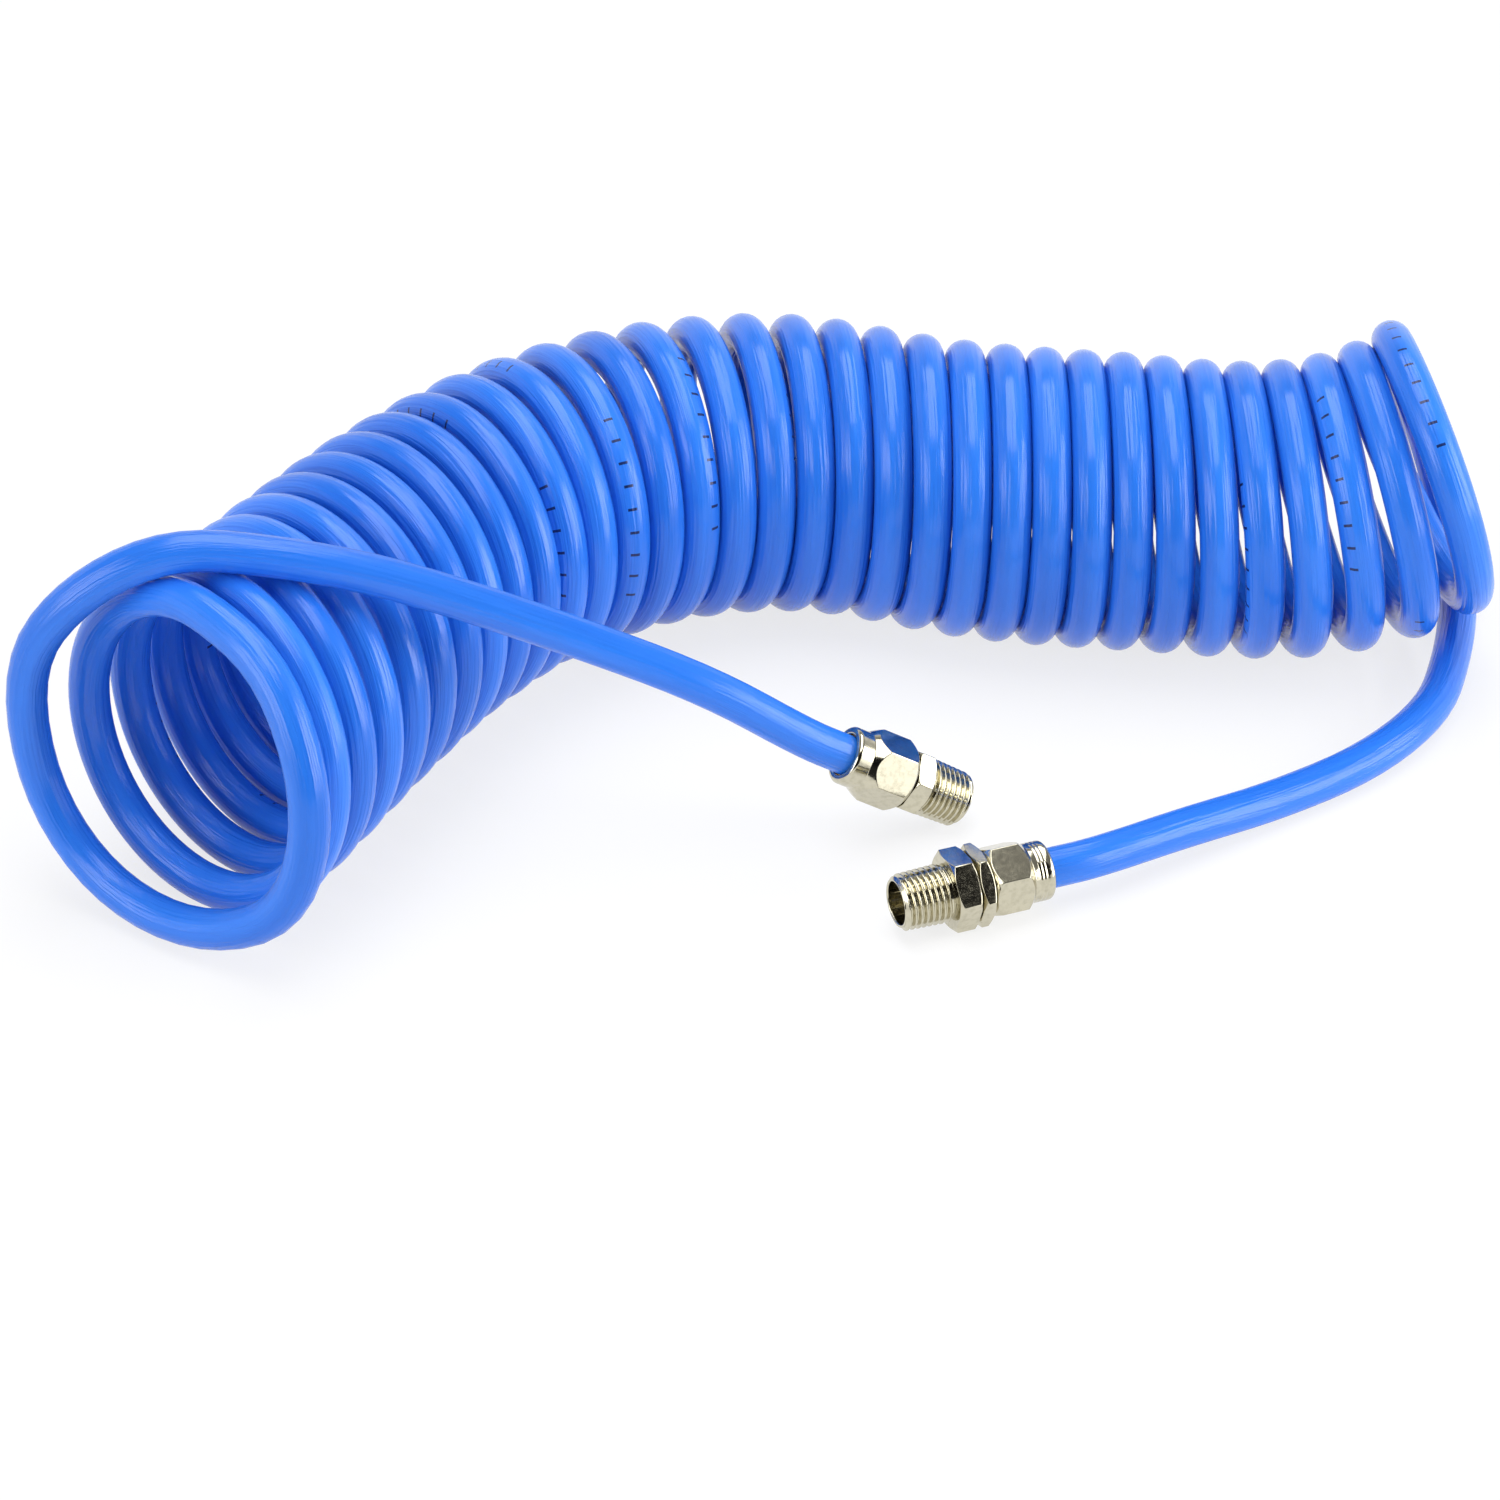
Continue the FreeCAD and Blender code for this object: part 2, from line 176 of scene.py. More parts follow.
DARK_LEVEL = 0.02
CEILING_FROM = 0.40         # how far upward the studio starts to dim
CEILING_TO = 0.65
CEILING_LEVEL = 0.22
LAMPS = [                   # name, place, aim, width, height, watts
    ("top", (0.0, 0.15, 1.25), (0.0, 0.0, 0.0), 0.9, 1.6, 16.0),
    ("right", (1.25, -0.28, 0.42), (0.0, 0.0, 0.03), 1.05, 0.9, 14.0),
    ("front", (1.00, -0.90, 0.20), (0.04, -0.04, 0.02), 0.5, 0.36, 0.5),
    ("left", (-1.05, -0.75, 0.50), (0.0, 0.0, 0.05), 0.9, 0.9, 9.0),
]

# ---- the camera ---------------------------------------------------------------------------
CAMERA_PLACE = Vector((-0.008, -1.1739, 0.7640))
CAMERA_AIM = Vector((-0.008, -0.002, 0.0))
CAMERA_LENS = 140.1         # millimetres, on a 36 mm sensor
camera_data = bpy.data.cameras.new("camera")
camera_data.sensor_width = 36.0
camera_data.lens = CAMERA_LENS
camera_data.clip_end = 20.0
camera = bpy.data.objects.new("camera", camera_data)
camera.location = CAMERA_PLACE
camera.rotation_euler = (CAMERA_AIM - CAMERA_PLACE).to_track_quat("-Z", "Y").to_euler()
bpy.context.scene.collection.objects.link(camera)
bpy.context.scene.camera = camera

# ---- the hose's route ---------------------------------------------------------------------
# The coil, turn by turn: turns from its open end, centre, heading and tilt of the turn.
COIL = [
    (0.0, (-0.1408, -0.0807, 0.0433), 55.0, -11.5),
    (1.5, (-0.1305, -0.0635, 0.0420), 47.5, -5.5),
    (3.0, (-0.1210, -0.0460, 0.0410), 45.5, -3.0),
    (6.0, (-0.1040, -0.0120, 0.0395), 47.0, -3.5),
    (9.0, (-0.0855, 0.0200, 0.0382), 44.5, -3.5),
    (12.0, (-0.0613, 0.0471, 0.0380), 35.0, -2.5),
    (15.0, (-0.0303, 0.0655, 0.0376), 22.5, -1.3),
    (18.0, (0.0036, 0.0708, 0.0370), 11.5, -1.3),
    (22.0, (0.0449, 0.0588, 0.0366), 4.5, 0.2),
    (26.0, (0.0841, 0.0525, 0.0368), 3.5, 2.2),
    (29.5, (0.1205, 0.0471, 0.0378), 5.3, 7.9),
    (31.7, (0.1452, 0.0462, 0.0434), 8.4, 15.3),
    (33.5, (0.1643, 0.0480, 0.0540), 12.0, 23.5),
]
COIL_START = 1.0            # turns
COIL_END = 33.25
POINTS_PER_TURN = 16
COIL_RADIUS = 0.0318        # of the hose's middle, in the closed part of the coil
COIL_WIDENING = 0.0067      # more at the open end
WIDENING_TURNS = 6.0
TUBE_SIDES = 24
BORE_SHOWN = 0.0125         # length of open bore at each end, round the stem
SWIVEL_TAIL = [
    (0.0940, -0.0460, 0.0075), (0.1150, -0.0315, 0.0048), (0.1390, -0.0145, 0.0048),
    (0.1565, 0.0080, 0.0048), (0.1630, 0.0305, 0.0048), (0.1670, 0.0525, 0.0050),
    (0.1680, 0.0740, 0.0120), (0.1620, 0.0845, 0.0320),
]
RIGID_TAIL = [
    (-0.1120, -0.0860, 0.0745), (-0.1035, -0.1005, 0.0465), (-0.1115, -0.0980, 0.0170),
    (-0.1340, -0.0865, 0.0048), (-0.1565, -0.0685, 0.0063), (-0.1713, -0.0575, 0.0263),
    (-0.1733, -0.0560, 0.0585), (-0.1595, -0.0585, 0.0790), (-0.1380, -0.0570, 0.0900),
    (-0.1130, -0.0545, 0.0860), (-0.0870, -0.0510, 0.0780), (-0.0455, -0.0465, 0.0590),
    (-0.0170, -0.0460, 0.0460),
]


def mean_radius(t):
    """The coil widens a little towards its open end."""
    return COIL_RADIUS + COIL_WIDENING * math.exp(-t / WIDENING_TURNS)


def coil_station(t):
    """Centre, heading and tilt at turn t, on a smooth curve through the rows of COIL."""
    rows = [Vector((*centre, heading, tilt)) for _, centre, heading, tilt in COIL]
    turns = [row[0] for row in COIL]
    i = max(k for k in range(len(turns) - 1) if turns[k] <= t)
    span = turns[i + 1] - turns[i]

    def slope(k):
        a, b = max(k - 1, 0), min(k + 1, len(rows) - 1)
        return (rows[b] - rows[a]) / (turns[b] - turns[a])

    f = (t - turns[i]) / span
    value = (rows[i] * (2 * f**3 - 3 * f**2 + 1) + slope(i) * span * (f**3 - 2 * f**2 + f)
             + rows[i + 1] * (3 * f**2 - 2 * f**3) + slope(i + 1) * span * (f**3 - f**2))
    return Vector(value[:3]), math.radians(value[3]), math.radians(value[4])


def coil_point(t, spread=1.0):
    centre, heading, tilt = coil_station(t)
    normal = Vector((math.cos(heading) * math.cos(tilt), math.sin(heading) * math.cos(tilt),
                     math.sin(tilt)))
    side = Vector((math.sin(heading), -math.cos(heading), 0))
    up = side.cross(normal)
    turn = 2 * math.pi * t
    return centre + (up * math.cos(turn) - side * math.sin(turn)) * mean_radius(t) * spread


def hose_points():
    """Control points of the hose's spline, from the swivel fitting to the rigid one."""
    points = [SWIVEL_TIP + SWIVEL_WAY * s for s in SWIVEL_STRAIGHT]
    points += [Vector(p) for p in SWIVEL_TAIL]
    bulge = 1 / math.cos(math.pi / POINTS_PER_TURN)
    steps = int((COIL_END - COIL_START) * POINTS_PER_TURN)
    points += [coil_point(COIL_END - k / POINTS_PER_TURN, bulge) for k in range(steps + 1)]
    points += [Vector(p) for p in RIGID_TAIL]
    points += [RIGID_TIP + RIGID_WAY * s for s in RIGID_STRAIGHT]
    return points


def spline_points(points):
    """The smooth NURBS line on these control points, as a list of points."""
    data = bpy.data.curves.new("route", "CURVE")
    data.dimensions = "3D"
    data.resolution_u = 5
    line = data.splines.new("NURBS")
    line.points.add(len(points) - 1)
    for slot, point in zip(line.points, points):
        slot.co = (*point, 1.0)
    line.order_u = 3
    line.use_endpoint_u = True
    route = bpy.data.objects.new("route", data)
    bpy.context.scene.collection.objects.link(route)
    evaluated = route.evaluated_get(bpy.context.evaluated_depsgraph_get())
    mesh = bpy.data.meshes.new_from_object(evaluated)
    found = [v.co.copy() for v in mesh.vertices]
    bpy.data.objects.remove(route)
    bpy.data.meshes.remove(mesh)
    return found


def new_object(name, mesh):
    made = bpy.data.objects.new(name, mesh)
    bpy.context.scene.collection.objects.link(made)
    return made


def frames(path):
    """Ways along the path, directions across it that don't twist, and lengths along it."""
    ways = []
    for i in range(len(path)):
        ways.append((path[min(i + 1, len(path) - 1)] - path[max(i - 1, 0)]).normalized())
    along = [0.0]
    for a, b in zip(path, path[1:]):
        along.append(along[-1] + (b - a).length)
    across = [ways[0].orthogonal().normalized()]
    for before, way in zip(ways, ways[1:]):
        across.append((before.rotation_difference(way) @ across[-1]).normalized())
    return ways, across, along


def printed_side(path, turn):
    """Angle round the tube, in the frames of its path, that faces outward at that turn."""
    ways, across, _ = frames(path)
    outward = (coil_point(turn) - coil_station(turn)[0]).normalized()
    i = min(range(len(path)), key=lambda k: (path[k] - coil_point(turn)).length)
    return math.atan2(outward.dot(ways[i].cross(across[i])), outward.dot(across[i]))


def hose_tube(name, path, around=TUBE_SIDES, recess=BORE_SHOWN):
    """A round tube on the path, with an open bore at each end as deep as the stem needs."""
    ways, across, along = frames(path)
    mesh = bpy.data.meshes.new(name)
    built = bmesh.new()
    stored = built.verts.layers.float_vector.new("tube")

    def ring(i, radius):
        other = ways[i].cross(across[i])
        made = []
        for k in range(around):
            angle = 2 * math.pi * k / around
            out = across[i] * math.cos(angle) + other * math.sin(angle)
            vert = built.verts.new(path[i] + out * radius)
            vert[stored] = (along[i], math.cos(angle), math.sin(angle))
            made.append(vert)
        return made

    def join(a, b):
        for k in range(around):
            built.faces.new((a[k], a[(k + 1) % around], b[(k + 1) % around], b[k]))

    near = [i for i in range(len(path)) if along[i] < recess]
    far = [i for i in range(len(path)) if along[-1] - along[i] < recess]
    order = [(i, HOSE_BORE / 2) for i in reversed(near)]
    order += [(i, HOSE_OD / 2) for i in range(len(path))]
    order += [(i, HOSE_BORE / 2) for i in reversed(far)]
    rings = [ring(i, radius) for i, radius in order]
    for a, b in zip(rings, rings[1:]):
        join(a, b)
    built.faces.new(list(reversed(rings[0])))
    built.faces.new(rings[-1])
    bmesh.ops.recalc_face_normals(built, faces=built.faces)
    for face in built.faces:
        face.smooth = True
    built.to_mesh(mesh)
    built.free()
    return new_object(name, mesh), along[-1]


hose_path = spline_points(hose_points())
hose, hose_length = hose_tube("hose", hose_path)


# ---- the fittings' skins: one closed mesh each, turned about its axis --------------------------
def half_flat(across_flats):
    """Half the angle that a flat spans between two rounded corners."""
    apothem = across_flats / 2
    return math.atan((apothem - CORNER_ROUND) * math.tan(math.pi / 6) / apothem)


def hex_angles(across_flats, roll):
    """Angles all the way round from one corner, close together at the rounded corners."""
    edge = math.pi / 6 - half_flat(across_flats)
    side = [0, edge / 2, edge] + [math.radians(6 * k) for k in range(1, 10)]
    side += [math.pi / 3 - edge, math.pi / 3 - edge / 2]
    return [math.radians(roll) + math.pi / 3 * k + a for k in range(6) for a in side] + [
        math.radians(roll) + 2 * math.pi]


def hex_radius(angle, across_flats, roll):
    """From the axis to the side of a hexagon with rounded corners; a corner is at roll."""
    apothem = across_flats / 2
    off_flat = (angle - math.radians(roll)) % (math.pi / 3) - math.pi / 6
    if abs(off_flat) <= half_flat(across_flats):
        return apothem / math.cos(off_flat)
    off_corner = math.pi / 6 - abs(off_flat)
    centre = (apothem - CORNER_ROUND) / math.cos(math.pi / 6)
    return centre * math.cos(off_corner) + math.sqrt(
        CORNER_ROUND**2 - (centre * math.sin(off_corner))**2)


def hex_head(start, end, radius, across_flats, front, rear):
    """Outline of a chamfered hexagon; front and rear are (length, face beyond the flats)."""
    corner = across_flats / math.sqrt(3)

    def cut(chamfer):
        length, beyond = chamfer
        face = across_flats / 2 + beyond
        return max(radius - face, 0) / (corner - face) * length, min(radius, face)

    front_cut, front_radius = cut(front)
    rear_cut, rear_radius = cut(rear)
    return [(start, front_radius, EDGE_ROUND), (start + front_cut, radius, EDGE_ROUND),
            (end - rear_cut, radius, EDGE_ROUND), (end, rear_radius, EDGE_ROUND)]


# one thread's section: share of the pitch, share of the depth
THREAD_SECTION = [(0.0, 0.08), (0.05, 0.0), (0.2, 0.0), (0.25, 0.08),
                  (0.48, 0.92), (0.54, 1.0), (0.71, 1.0), (0.77, 0.92)]


def thread(start, end, turned, pitch, depth, crest, neck, lead=0.0):
    """Outline of a right-hand helical thread where it has turned by this share of a turn."""
    rows = []
    for k in range(math.ceil((end - start) / pitch) + 2):
        for share, deep in THREAD_SECTION:
            x = min(max(start + (k - 1 + share + turned) * pitch, start), end)
            run_out = min(max((x - (end - neck)) / NECK_RAMP, 0), 1)
            run_in = min(max((start + lead - x) / NECK_RAMP, 0), 1)
            radius = crest(x) - depth * max(deep, run_out, run_in)
            rows.append((x, radius, 0))
    return rows


def pipe_thread(length, turned):
    """Tapered pipe thread with a cone at its tip that starts at the thread's root."""
    def crest(x):
        return THREAD_TIP_CREST + THREAD_TAPER * x

    rows = thread(0.0, length, turned, THREAD_PITCH, THREAD_DEPTH, crest, THREAD_NECK)
    root = THREAD_TIP_CREST - THREAD_DEPTH
    return [(x, min(radius, root + x), reach) for x, radius, reach in rows]


def shank_and_stem(shoulder, turned):
    """The nut's thread behind the wrench hex, then the barbed stem inside the hose."""
    end = shoulder + SHANK_LENGTH
    rows = thread(shoulder, end, turned, SHANK_PITCH, SHANK_DEPTH, lambda x: SHANK_CREST,
                  SHANK_NECK, SHANK_NECK)
    rows.append((end, STEM_RADIUS, 0))
    for k in range(STEM_BARBS):
        barb = end + STEM_PITCH * (k + 1)
        rows += [(barb - STEM_PITCH / 2, STEM_RADIUS, 0),
                 (barb - STEM_PITCH / 2, STEM_RADIUS + BARB_HEIGHT, 0), (barb, STEM_RADIUS, 0)]
    return rows + [(end + STEM_LENGTH, STEM_RADIUS - BARB_HEIGHT, EDGE_ROUND),
                   (end + STEM_LENGTH, PASSAGE_RADIUS, EDGE_ROUND)]


def rounded(outline):
    """Turns each corner of the closed outline that has a reach into a small arc."""
    points = []
    befores = outline[-1:] + outline[:-1]
    afters = outline[1:] + outline[:1]
    for before, corner, after in zip(befores, outline, afters):
        x, radius, reach = corner
        if not reach:
            points.append((x, radius))
            continue
        ends = []
        for other in (before, after):
            gap = math.hypot(other[0] - x, other[1] - radius)
            share = min(reach / gap, LONGEST_REACH) if gap > 0 else 0
            ends.append((x + (other[0] - x) * share, radius + (other[1] - radius) * share))
        (x0, r0), (x1, r1) = ends
        points += [(x0, r0), ((x0 + 2 * x + x1) / 4, (r0 + 2 * radius + r1) / 4), (x1, r1)]
    return points


def turned_skin(name, tip, way, across_flats, roll, outline):
    """A closed skin whose outline, a function of angle and share of a turn, goes round once."""
    across = Vector((0, 0, 1)).cross(way).normalized()
    upward = way.cross(across)
    built = bmesh.new()
    stored = built.verts.layers.float_vector.new("turned")
    columns = []
    angles = hex_angles(across_flats, roll)
    for angle in angles:
        out = across * math.cos(angle) + upward * math.sin(angle)
        share = (angle - angles[0]) / (2 * math.pi)
        column = []
        for x, radius in rounded(outline(angle, share)):
            vert = built.verts.new(tip + (way * x + out * radius) * MM)
            vert[stored] = (x * MM, radius * MM, 0)
            column.append(vert)
        columns.append(column)
    for a, b in zip(columns, columns[1:]):
        for k in range(len(a)):
            n = (k + 1) % len(a)
            built.faces.new((a[k], a[n], b[n], b[k]))
    bmesh.ops.remove_doubles(built, verts=built.verts, dist=MERGE)
    bmesh.ops.recalc_face_normals(built, faces=built.faces)
    for face in built.faces:
        face.smooth = True
    mesh = bpy.data.meshes.new(name)
    built.to_mesh(mesh)
    built.free()
    made = new_object(name, mesh)
    made.modifiers.new("even_flats", "WEIGHTED_NORMAL")
    return made


def rigid_body_outline(angle, turned):
    radius = hex_radius(angle, RIGID_FLATS, RIGID_BODY_ROLL)
    shoulder = RIGID_THREAD + RIGID_HEX
    return (pipe_thread(RIGID_THREAD, turned)
            + hex_head(RIGID_THREAD, shoulder, radius, RIGID_FLATS, RIGID_CHAMFER, RIGID_CHAMFER)
            + shank_and_stem(shoulder, turned)
            + [(RIGID_BORE_DEPTH, PASSAGE_RADIUS, EDGE_ROUND),
               (RIGID_BORE_DEPTH - BORE_CONE, RIGID_BORE, 0),
               (BORE_CHAMFER, RIGID_BORE, EDGE_ROUND),
               (0.0, RIGID_BORE + BORE_CHAMFER, EDGE_ROUND)])


def stud_outline(angle, turned):
    radius = hex_radius(angle, SWIVEL_FLATS, STUD_ROLL)
    end = SWIVEL_THREAD + STUD_HEX
    return (pipe_thread(SWIVEL_THREAD, turned)
            + hex_head(SWIVEL_THREAD, end, radius, SWIVEL_FLATS, STUD_FRONT, STUD_REAR)
            + [(end, LAND_RADIUS + MOUTH_CHAMFER, EDGE_ROUND),
               (end - MOUTH_CHAMFER, LAND_RADIUS, EDGE_ROUND),
               (MOUTH_DEPTH, LAND_RADIUS, EDGE_ROUND), (MOUTH_DEPTH, MOUTH_RADIUS, 0),
               (MOUTH_CHAMFER, MOUTH_RADIUS, EDGE_ROUND),
               (0.0, MOUTH_RADIUS + MOUTH_CHAMFER, EDGE_ROUND)])


def barb_body_outline(angle, turned):
    radius = hex_radius(angle, SWIVEL_FLATS, BARB_ROLL)
    start = SWIVEL_THREAD + STUD_HEX + SWIVEL_GAP
    shoulder = start + BARB_HEX

    def groove(middle, width, depth):
        low, high = middle - width / 2, middle + width / 2
        return [(low, SPIGOT_RADIUS, 0), (low, SPIGOT_RADIUS - depth, 0),
                (high, SPIGOT_RADIUS - depth, 0), (high, SPIGOT_RADIUS, 0)]

    rows = [(SPIGOT_END, SPIGOT_RADIUS - SPIGOT_CHAMFER, EDGE_ROUND),
            (SPIGOT_END + SPIGOT_CHAMFER, SPIGOT_RADIUS, EDGE_ROUND)]
    rows += groove(RING_MIDDLE, RING_GROOVE, RING_DEPTH)
    for middle in SEAL_MIDDLES:
        rows += groove(middle, SEAL_GROOVE, SEAL_DEPTH)
    return (rows + [(start, SPIGOT_RADIUS, 0)]
            + hex_head(start, shoulder, radius, SWIVEL_FLATS, BARB_CHAMFER, BARB_CHAMFER)
            + shank_and_stem(shoulder, turned)
            + [(SPIGOT_END, PASSAGE_RADIUS, EDGE_ROUND)])


def nut_outline(shoulder, hex_length, rear_chamfer, collar_length, roll, rings=()):
    """Outline of a clamp nut; rings are the middles of fine grooves, from the collar's front."""
    front = shoulder + NUT_GAP
    hex_end = front + hex_length
    end = hex_end + collar_length
    front_chamfer = (NUT_FLATS / math.sqrt(3) - NUT_FLATS / 2 + NUT_INSET, -NUT_INSET)
    ferrule = shoulder + SHANK_LENGTH + FERRULE_START

    def outline(angle, turned):
        radius = hex_radius(angle, NUT_FLATS, roll)
        rows = hex_head(front, hex_end, radius, NUT_FLATS, front_chamfer,
                        (rear_chamfer, COLLAR_RADIUS - NUT_FLATS / 2))
        for middle in rings:
            x = hex_end + middle
            rows += [(x - RING_WIDTH / 2, COLLAR_RADIUS, 0),
                     (x - RING_WIDTH / 6, COLLAR_RADIUS - RING_CUT, 0),
                     (x + RING_WIDTH / 6, COLLAR_RADIUS - RING_CUT, 0),
                     (x + RING_WIDTH / 2, COLLAR_RADIUS, 0)]
        return rows + [
            (end - COLLAR_CHAMFER, COLLAR_RADIUS, COLLAR_ROUND),
            (end, COLLAR_RADIUS - COLLAR_CHAMFER, COLLAR_ROUND),
            (end, LIP_BORE, COLLAR_ROUND), (end - LIP_LENGTH, LIP_BORE, EDGE_ROUND),
            (end - LIP_LENGTH, CHAMBER_RADIUS, 0), (ferrule, CHAMBER_RADIUS, 0),
            (ferrule, NUT_BORE, 0), (front + BORE_CHAMFER, NUT_BORE, EDGE_ROUND),
            (front, NUT_BORE + BORE_CHAMFER, EDGE_ROUND)]
    return outline


rigid_body = turned_skin("rigid_fitting_body", RIGID_TIP, RIGID_WAY, RIGID_FLATS, RIGID_BODY_ROLL,
                         rigid_body_outline)
rigid_nut = turned_skin("rigid_clamp_nut", RIGID_TIP, RIGID_WAY, NUT_FLATS, RIGID_NUT_ROLL,
                        nut_outline(RIGID_THREAD + RIGID_HEX, RIGID_NUT_HEX, RIGID_NUT_CHAMFER,
                                    RIGID_COLLAR, RIGID_NUT_ROLL))
stud = turned_skin("swivel_male_stud", SWIVEL_TIP, SWIVEL_WAY, SWIVEL_FLATS, STUD_ROLL,
                   stud_outline)
barb_body = turned_skin("swivel_hose_body", SWIVEL_TIP, SWIVEL_WAY, SWIVEL_FLATS, BARB_ROLL,
                        barb_body_outline)
swivel_nut = turned_skin("swivel_clamp_nut", SWIVEL_TIP, SWIVEL_WAY, NUT_FLATS, SWIVEL_NUT_ROLL,
                         nut_outline(SWIVEL_THREAD + STUD_HEX + SWIVEL_GAP + BARB_HEX,
                                     SWIVEL_NUT_HEX, SWIVEL_NUT_CHAMFER, SWIVEL_COLLAR,
                                     SWIVEL_NUT_ROLL, COLLAR_RINGS))
FITTINGS = [
    (rigid_body, "rigid_body", "hose"), (rigid_nut, "rigid_nut", "rigid_nut"),
    (stud, "swivel_stud", "swivel_stud"), (barb_body, "swivel_barb_body", "hose"),
    (swivel_nut, "swivel_nut", "swivel_nut"),
]
for piece, node, cad_body in FITTINGS:
    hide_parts(node)
    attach(piece, cad_body)
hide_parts("hose_coil", "rigid_end_tail", "swivel_end_tail")
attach(hose, "hose")


# ---- materials ----------------------------------------------------------------------------
class Nodes:
    """A material's node tree, with short ways to add and join nodes."""

    def __init__(self, name, **values):
        self.material = bpy.data.materials.new(name)
        self.material.use_nodes = True
        self.tree = self.material.node_tree
        self.shader = self.tree.nodes["Principled BSDF"]
        for key, value in values.items():
            self.shader.inputs[key.replace("_", " ")].default_value = value

    def add(self, kind, settings=None, **inputs):
        node = self.tree.nodes.new(kind)
        for key, value in (settings or {}).items():
            setattr(node, key, value)
        for key, value in inputs.items():
            socket = node.inputs[int(key[1:]) if key[1:].isdigit() else key.replace("_", " ")]
            self.put(socket, value)
        return node

    def put(self, socket, value):
        if isinstance(value, bpy.types.Node):
            value = value.outputs[0]
        if isinstance(value, bpy.types.NodeSocket):
            self.tree.links.new(value, socket)
        else:
            socket.default_value = value

    def maths(self, operation, a, b=0.0, c=0.0):
        return self.add("ShaderNodeMath", {"operation": operation}, i0=a, i1=b, i2=c)

    def ramp(self, value, low, high, to_low=0.0, to_high=1.0):
        return self.add("ShaderNodeMapRange", {}, Value=value, From_Min=low, From_Max=high,
                        To_Min=to_low, To_Max=to_high)

    def blend(self, share, a, b):
        node = self.add("ShaderNodeMix", {"data_type": "RGBA"})
        self.put(node.inputs[0], share)
        self.put(node.inputs[6], a)
        self.put(node.inputs[7], b)
        return node.outputs[2]

    def noise(self, vector, scale, detail=2.0):
        return self.add("ShaderNodeTexNoise", {}, Vector=vector, Scale=scale, Detail=detail)

    def scaled(self, vector, sizes):
        return self.add("ShaderNodeVectorMath", {"operation": "MULTIPLY"}, i0=vector, i1=sizes)

    def attribute(self, name):
        return self.add("ShaderNodeAttribute", {"attribute_name": name}).outputs["Vector"]

    def place(self):
        return self.add("ShaderNodeTexCoord").outputs["Object"]

    def bump(self, height, distance, strength=1.0):
        node = self.add("ShaderNodeBump", {}, Height=height, Distance=distance, Strength=strength)
        self.put(self.shader.inputs["Normal"], node)

    def finish(self, socket, value):
        self.put(self.shader.inputs[socket], value)


def polyurethane():
    """Clear-bodied blue tube: glossy, faint extrusion lines, and a scale of plain ticks."""
    made = Nodes("blue_polyurethane", IOR=1.5, Subsurface_Weight=HOSE_GLOW,
                 Subsurface_Radius=(0.25, 0.6, 1.0), Subsurface_Scale=0.003,
                 Specular_IOR_Level=HOSE_SHINE)
    tube = made.attribute("tube")
    parts = made.add("ShaderNodeSeparateXYZ", {}, i0=tube)
    drift = made.noise(made.scaled(tube, HOSE_DRIFT), 1.0, 3.0)
    colour = made.blend(made.ramp(drift, 0.35, 0.65), HOSE_BLUE_DEEP, HOSE_BLUE)
    ticks = hose_ticks(made, parts)
    made.finish("Base Color", made.blend(ticks, colour, PRINT_COLOUR))
    smear = made.noise(made.place(), HOSE_SMEARS, 4.0)
    made.finish("Roughness",
                made.ramp(smear, 0.3, 0.7, HOSE_ROUGHNESS - 0.03, HOSE_ROUGHNESS + 0.05))
    lines = made.noise(made.scaled(tube, HOSE_LINES), 1.0, 2.0)
    made.bump(lines, HOSE_LINE_HEIGHT)
    return made.material


def hose_ticks(made, parts):
    """1 on the printed ticks, which stand in short runs on one line along the tube."""
    along = parts.outputs[0]
    side = printed_side(hose_path, PRINT_TURN)
    facing = made.maths("ADD", made.maths("MULTIPLY", parts.outputs[1], math.cos(side)),
                        made.maths("MULTIPLY", parts.outputs[2], math.sin(side)))
    beside = made.maths("FRACT", made.maths("DIVIDE", along, TICK_STEP))
    thin = made.maths("LESS_THAN", beside, TICK_WIDTH / TICK_STEP)
    run = made.maths("LESS_THAN", made.maths("FRACT", made.maths("DIVIDE", along, TICKS_EVERY)),
                     TICKS_EACH / TICKS_EVERY)
    near = made.maths("GREATER_THAN", facing, TICK_REACH)
    return made.maths("MULTIPLY", made.maths("MULTIPLY", thin, run), near)


def nickel():
    """Bright nickel plate over turned brass: warm, faint lathe lines and handling marks."""
    made = Nodes("bright_nickel", Metallic=1.0, IOR=1.8)
    turned = made.attribute("turned")
    place = made.place()
    tarnish = made.ramp(made.noise(place, TARNISH_SPOTS, 5.0), 0.45, 0.85)
    made.finish("Base Color", made.blend(tarnish, NICKEL, NICKEL_DULL))
    lathe = made.noise(made.scaled(turned, LATHE_LINES), 1.0, 2.0)
    marks = made.noise(made.scaled(place, HANDLING_MARKS), 1.0, 3.0)
    rough = made.maths("MULTIPLY_ADD", marks, MARKS_ROUGHNESS, NICKEL_ROUGHNESS)
    made.finish("Roughness", made.maths("MULTIPLY_ADD", tarnish, TARNISH_ROUGHNESS, rough))
    height = made.maths("ADD", lathe, made.maths("MULTIPLY", marks, MARKS_HEIGHT))
    made.bump(height, NICKEL_RELIEF)
    return made.material


def bare_metal(name, colour, dull, roughness):
    """Unplated metal inside the fittings, with stains and fine scratches."""
    made = Nodes(name, Metallic=1.0)
    place = made.place()
    stain = made.ramp(made.noise(place, BARE_STAINS, 4.0), 0.4, 0.7)
    made.finish("Base Color", made.blend(stain, colour, dull))
    marks = made.noise(made.scaled(place, BARE_SCRATCHES), 1.0, 3.0)
    made.finish("Roughness", made.ramp(marks, 0.3, 0.7, roughness - 0.08, roughness + 0.1))
    made.bump(marks, BARE_RELIEF)
    return made.material


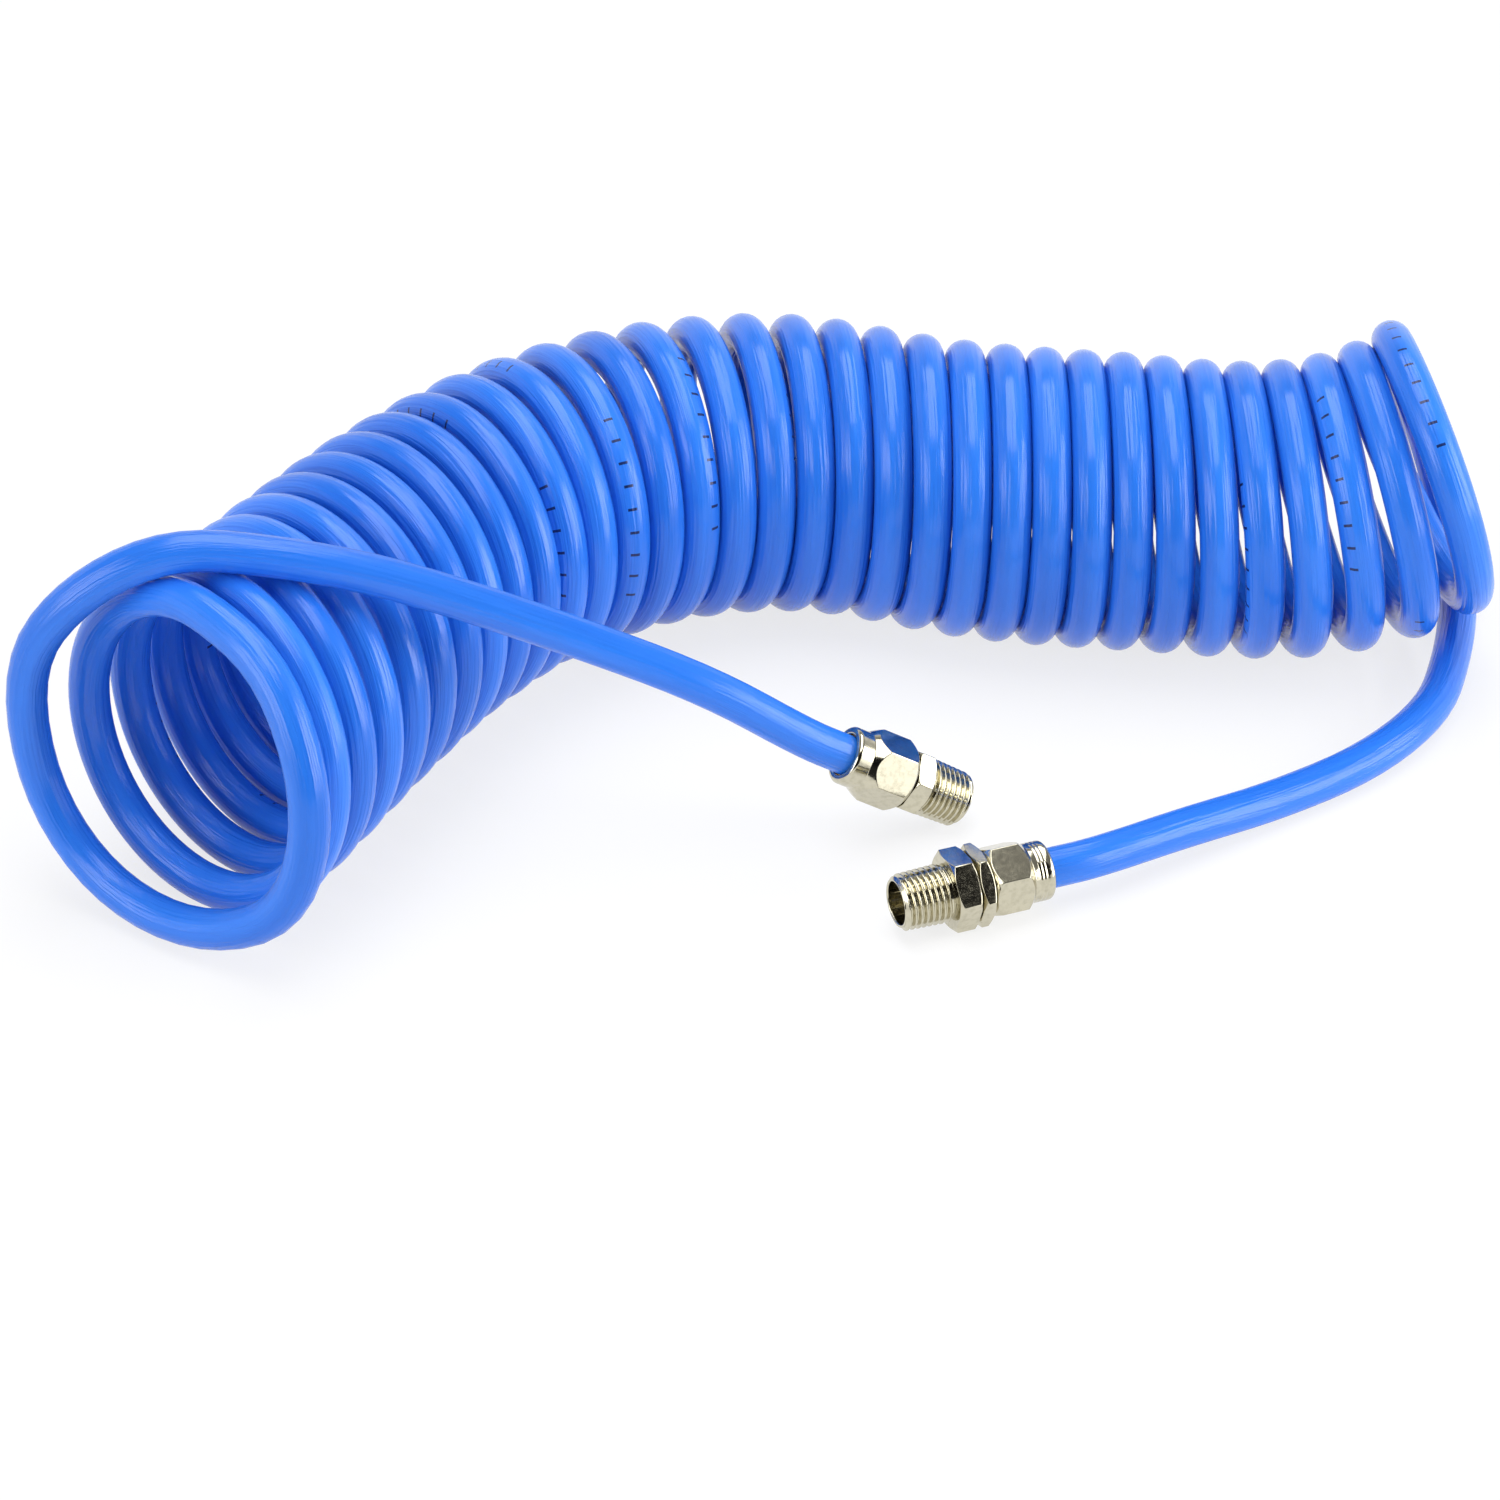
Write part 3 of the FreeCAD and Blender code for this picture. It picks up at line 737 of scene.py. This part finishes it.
def moulded(name, colour, worn, roughness, grain):
    """Moulded rubber or plastic, speckled where it is worn."""
    made = Nodes(name)
    place = made.place()
    speckle = made.noise(place, grain, 4.0)
    made.finish("Base Color", made.blend(made.ramp(speckle, 0.4, 0.7), colour, worn))
    made.finish("Roughness", made.ramp(speckle, 0.3, 0.7, roughness - 0.05, roughness + 0.1))
    made.bump(speckle, MOULDED_RELIEF)
    return made.material


def dress(node, made):
    """Gives a CAD node that stays its better material."""
    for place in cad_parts[node].material_slots:
        place.material = made


hose.data.materials.append(polyurethane())
plate = nickel()
for piece, _, _ in FITTINGS:
    piece.data.materials.append(plate)
brass = bare_metal("plain_brass", BRASS, BRASS_DULL, 0.3)
dress("rigid_ferrule", brass)
dress("swivel_ferrule", brass)
dress("swivel_retaining_ring", bare_metal("spring_steel", SPRING_STEEL, SPRING_STEEL_DULL, 0.35))
dress("swivel_o_rings", moulded("seal_rubber", SEAL_BLACK, SEAL_WORN, 0.55, 900.0))
dress("swivel_thrust_washer", moulded("bearing_plastic", WASHER_PALE, WASHER_WORN, 0.45, 500.0))

# ---- floor and light ----------------------------------------------------------------------
floor_mesh = bpy.data.meshes.new("floor")
floor_mesh.from_pydata([(FLOOR_HALF * x, FLOOR_HALF * y, 0)
                        for x, y in ((-1, -1), (1, -1), (1, 1), (-1, 1))], [], [(0, 1, 2, 3)])
floor = new_object("floor", floor_mesh)


def seen(tree):
    """1 for the rays that show the background: to the camera, off metal, through clear things."""
    path = tree.nodes.new("ShaderNodeLightPath")
    total = path.outputs["Is Camera Ray"]
    for name in ("Is Glossy Ray", "Is Transmission Ray"):
        more = tree.nodes.new("ShaderNodeMath")
        more.operation = "MAXIMUM"
        tree.links.new(total, more.inputs[0])
        tree.links.new(path.outputs[name], more.inputs[1])
        total = more.outputs[0]
    return total


def floor_material():
    made = bpy.data.materials.new("floor_white")
    made.use_nodes = True
    tree = made.node_tree
    tree.nodes.clear()
    paint = tree.nodes.new("ShaderNodeBsdfDiffuse")
    paint.inputs["Color"].default_value = FLOOR_WHITE
    plain = tree.nodes.new("ShaderNodeEmission")
    plain.inputs["Strength"].default_value = 1.0
    share = tree.nodes.new("ShaderNodeMath")
    share.operation = "MULTIPLY"
    tree.links.new(seen(tree), share.inputs[0])
    share.inputs[1].default_value = FLOOR_PLAIN
    mix = tree.nodes.new("ShaderNodeMixShader")
    tree.links.new(share.outputs[0], mix.inputs[0])
    tree.links.new(paint.outputs[0], mix.inputs[1])
    tree.links.new(plain.outputs[0], mix.inputs[2])
    out = tree.nodes.new("ShaderNodeOutputMaterial")
    tree.links.new(mix.outputs[0], out.inputs["Surface"])
    return made


floor.data.materials.append(floor_material())


def studio_world():
    """White to the camera; metal mirrors a bright studio, dark in front and dim above."""
    world = bpy.data.worlds.new("world")
    world.use_nodes = True
    tree = world.node_tree
    background = tree.nodes["Background"]
    link = tree.links.new
    path = tree.nodes.new("ShaderNodeLightPath")
    way = tree.nodes.new("ShaderNodeTexCoord")
    parts = tree.nodes.new("ShaderNodeSeparateXYZ")
    link(way.outputs["Generated"], parts.inputs[0])
    front = tree.nodes.new("ShaderNodeVectorMath")
    front.operation = "DOT_PRODUCT"
    link(way.outputs["Generated"], front.inputs[0])
    front.inputs[1].default_value = DARK_WAY

    def ramp(value, *limits):
        node = tree.nodes.new("ShaderNodeMapRange")
        link(value, node.inputs["Value"])
        for key, limit in zip(("From Min", "From Max", "To Min", "To Max"), limits):
            node.inputs[key].default_value = limit
        return node.outputs[0]

    mirrored = tree.nodes.new("ShaderNodeMath")
    mirrored.operation = "MULTIPLY"
    link(ramp(front.outputs["Value"], DARK_FROM, DARK_TO, 1.0, DARK_LEVEL), mirrored.inputs[0])
    link(ramp(parts.outputs[2], CEILING_FROM, CEILING_TO, 1.0, CEILING_LEVEL), mirrored.inputs[1])

    def pick(share, a, b):
        mix = tree.nodes.new("ShaderNodeMix")
        mix.data_type = "FLOAT"
        for socket, value in ((mix.inputs[0], share), (mix.inputs[2], a), (mix.inputs[3], b)):
            if isinstance(value, bpy.types.NodeSocket):
                link(value, socket)
            else:
                socket.default_value = value
        return mix.outputs[0]

    level = pick(path.outputs["Is Glossy Ray"], WORLD_LEVEL, mirrored.outputs[0])
    level = pick(path.outputs["Is Transmission Ray"], level, 1.0)
    level = pick(path.outputs["Is Camera Ray"], level, 1.0)
    link(level, background.inputs["Strength"])
    background.inputs["Color"].default_value = (1, 1, 1, 1)
    return world


def soft_box(name, place, aim, width, height, watts):
    data = bpy.data.lights.new(name, "AREA")
    data.shape = "RECTANGLE"
    data.size = width
    data.size_y = height
    data.energy = watts
    lamp = bpy.data.objects.new(name, data)
    lamp.location = place
    lamp.rotation_euler = (Vector(aim) - Vector(place)).to_track_quat("-Z", "Y").to_euler()
    lamp.visible_camera = False
    bpy.context.scene.collection.objects.link(lamp)


bpy.context.scene.world = studio_world()
bpy.context.scene.view_settings.view_transform = "Standard"
for lamp in LAMPS:
    soft_box(*lamp)
